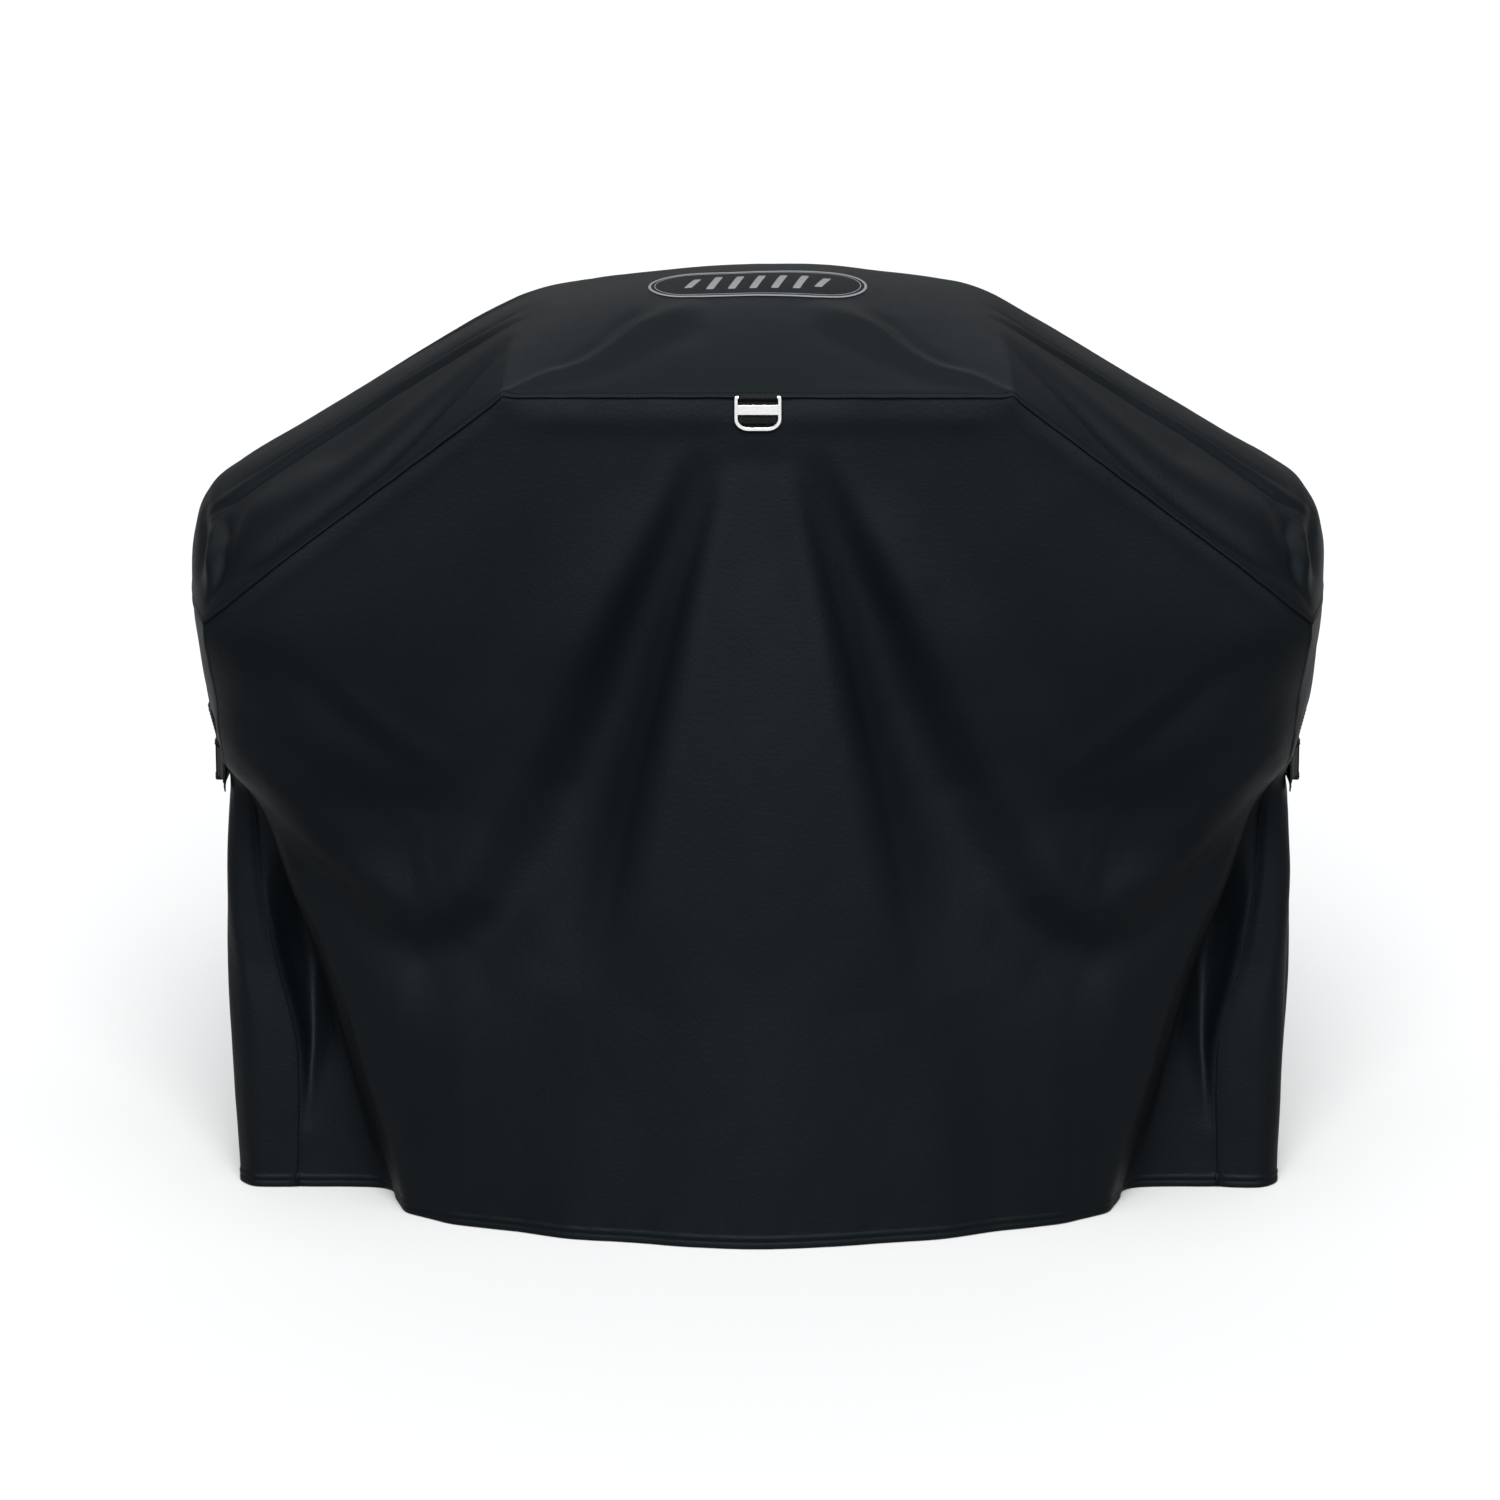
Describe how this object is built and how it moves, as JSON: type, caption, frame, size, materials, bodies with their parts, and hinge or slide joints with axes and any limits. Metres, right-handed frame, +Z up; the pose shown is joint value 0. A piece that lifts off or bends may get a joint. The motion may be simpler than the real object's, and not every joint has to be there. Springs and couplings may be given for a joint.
{
  "type": "grill cover",
  "caption": "Fitted fabric cover for a cart grill with side shelves: arched crown, sloped shoulders, draped front and back, side straps with buckles, webbing handles and a metal ring.",
  "frame": {"origin": "on the floor under the middle of the cover", "axes": "+X to the right of a person facing the front, -Y towards that person, +Z up"},
  "size_m": [1.1662, 0.608, 0.9576],
  "materials": {
    "cover_cloth": "coated woven polyester, black, soft satin sheen",
    "badge_cloth": "woven patch with a plain silver-grey stitched border, no lettering",
    "webbing": "ribbed black polypropylene webbing",
    "handle_webbing": "ribbed black webbing, doubled and sewn",
    "ring_metal": "satin nickel",
    "buckle_plastic": "moulded black acetal, fine grain"
  },
  "bodies": {
    "cover": {"front_panel": "cover_cloth", "back_panel": "cover_cloth", "top_panel": "cover_cloth", "left_side_panel": "cover_cloth", "right_side_panel": "cover_cloth", "crown_badge": "badge_cloth", "ring_tab": "webbing", "left_fixed_strap": "webbing", "left_adjust_strap": "webbing", "left_buckle_female": "buckle_plastic", "left_buckle_male": "buckle_plastic", "right_fixed_strap": "webbing", "right_adjust_strap": "webbing", "right_buckle_female": "buckle_plastic", "right_buckle_male": "buckle_plastic"},
    "ring": {"front_ring": "ring_metal"},
    "left_handle_body": {"left_handle": "handle_webbing"},
    "left_tail_body": {"left_strap_tail": "webbing"},
    "left_prong_upper_body": {"left_buckle_prong_upper": "buckle_plastic"},
    "left_prong_lower_body": {"left_buckle_prong_lower": "buckle_plastic"},
    "right_handle_body": {"right_handle": "handle_webbing"},
    "right_tail_body": {"right_strap_tail": "webbing"},
    "right_prong_upper_body": {"right_buckle_prong_upper": "buckle_plastic"},
    "right_prong_lower_body": {"right_buckle_prong_lower": "buckle_plastic"}
  },
  "joints": [
    {"name": "ring_swing", "type": "hinge", "parent": "cover", "child": "ring", "pos_m": [0, -0.2685, 0.865], "axis": [-1, 0, 0], "range_deg": [0, 150]},
    {"name": "left_handle_fold", "type": "hinge", "parent": "cover", "child": "left_handle_body", "pos_m": [-0.57123, 0, 0.50744], "axis": [0, 1, 0], "range_deg": [0, 75]},
    {"name": "left_tail_lift", "type": "hinge", "parent": "cover", "child": "left_tail_body", "pos_m": [-0.5637, 0.0194, 0.443], "axis": [0, 0, 1], "range_deg": [0, 60]},
    {"name": "left_prong_upper_pinch", "type": "hinge", "parent": "cover", "child": "left_prong_upper_body", "pos_m": [-0.5612, 0.0028, 0.458], "axis": [1, 0, 0], "range_deg": [0, 14], "stiffness_Nm_per_rad": 0.2},
    {"name": "left_prong_lower_pinch", "type": "hinge", "parent": "cover", "child": "left_prong_lower_body", "pos_m": [-0.5612, 0.0028, 0.428], "axis": [1, 0, 0], "range_deg": [-14, 0], "stiffness_Nm_per_rad": 0.2},
    {"name": "right_handle_fold", "type": "hinge", "parent": "cover", "child": "right_handle_body", "pos_m": [0.57123, 0, 0.50744], "axis": [0, -1, 0], "range_deg": [0, 75]},
    {"name": "right_tail_lift", "type": "hinge", "parent": "cover", "child": "right_tail_body", "pos_m": [0.5637, 0.0194, 0.443], "axis": [0, 0, -1], "range_deg": [0, 60]},
    {"name": "right_prong_upper_pinch", "type": "hinge", "parent": "cover", "child": "right_prong_upper_body", "pos_m": [0.5612, 0.0028, 0.458], "axis": [1, 0, 0], "range_deg": [0, 14], "stiffness_Nm_per_rad": 0.2},
    {"name": "right_prong_lower_pinch", "type": "hinge", "parent": "cover", "child": "right_prong_lower_body", "pos_m": [0.5612, 0.0028, 0.428], "axis": [1, 0, 0], "range_deg": [-14, 0], "stiffness_Nm_per_rad": 0.2}
  ],
  "couplings": [
    {"joint": "left_prong_lower_pinch", "follows": "left_prong_upper_pinch", "ratio": -1},
    {"joint": "right_prong_lower_pinch", "follows": "right_prong_upper_pinch", "ratio": -1}
  ]
}
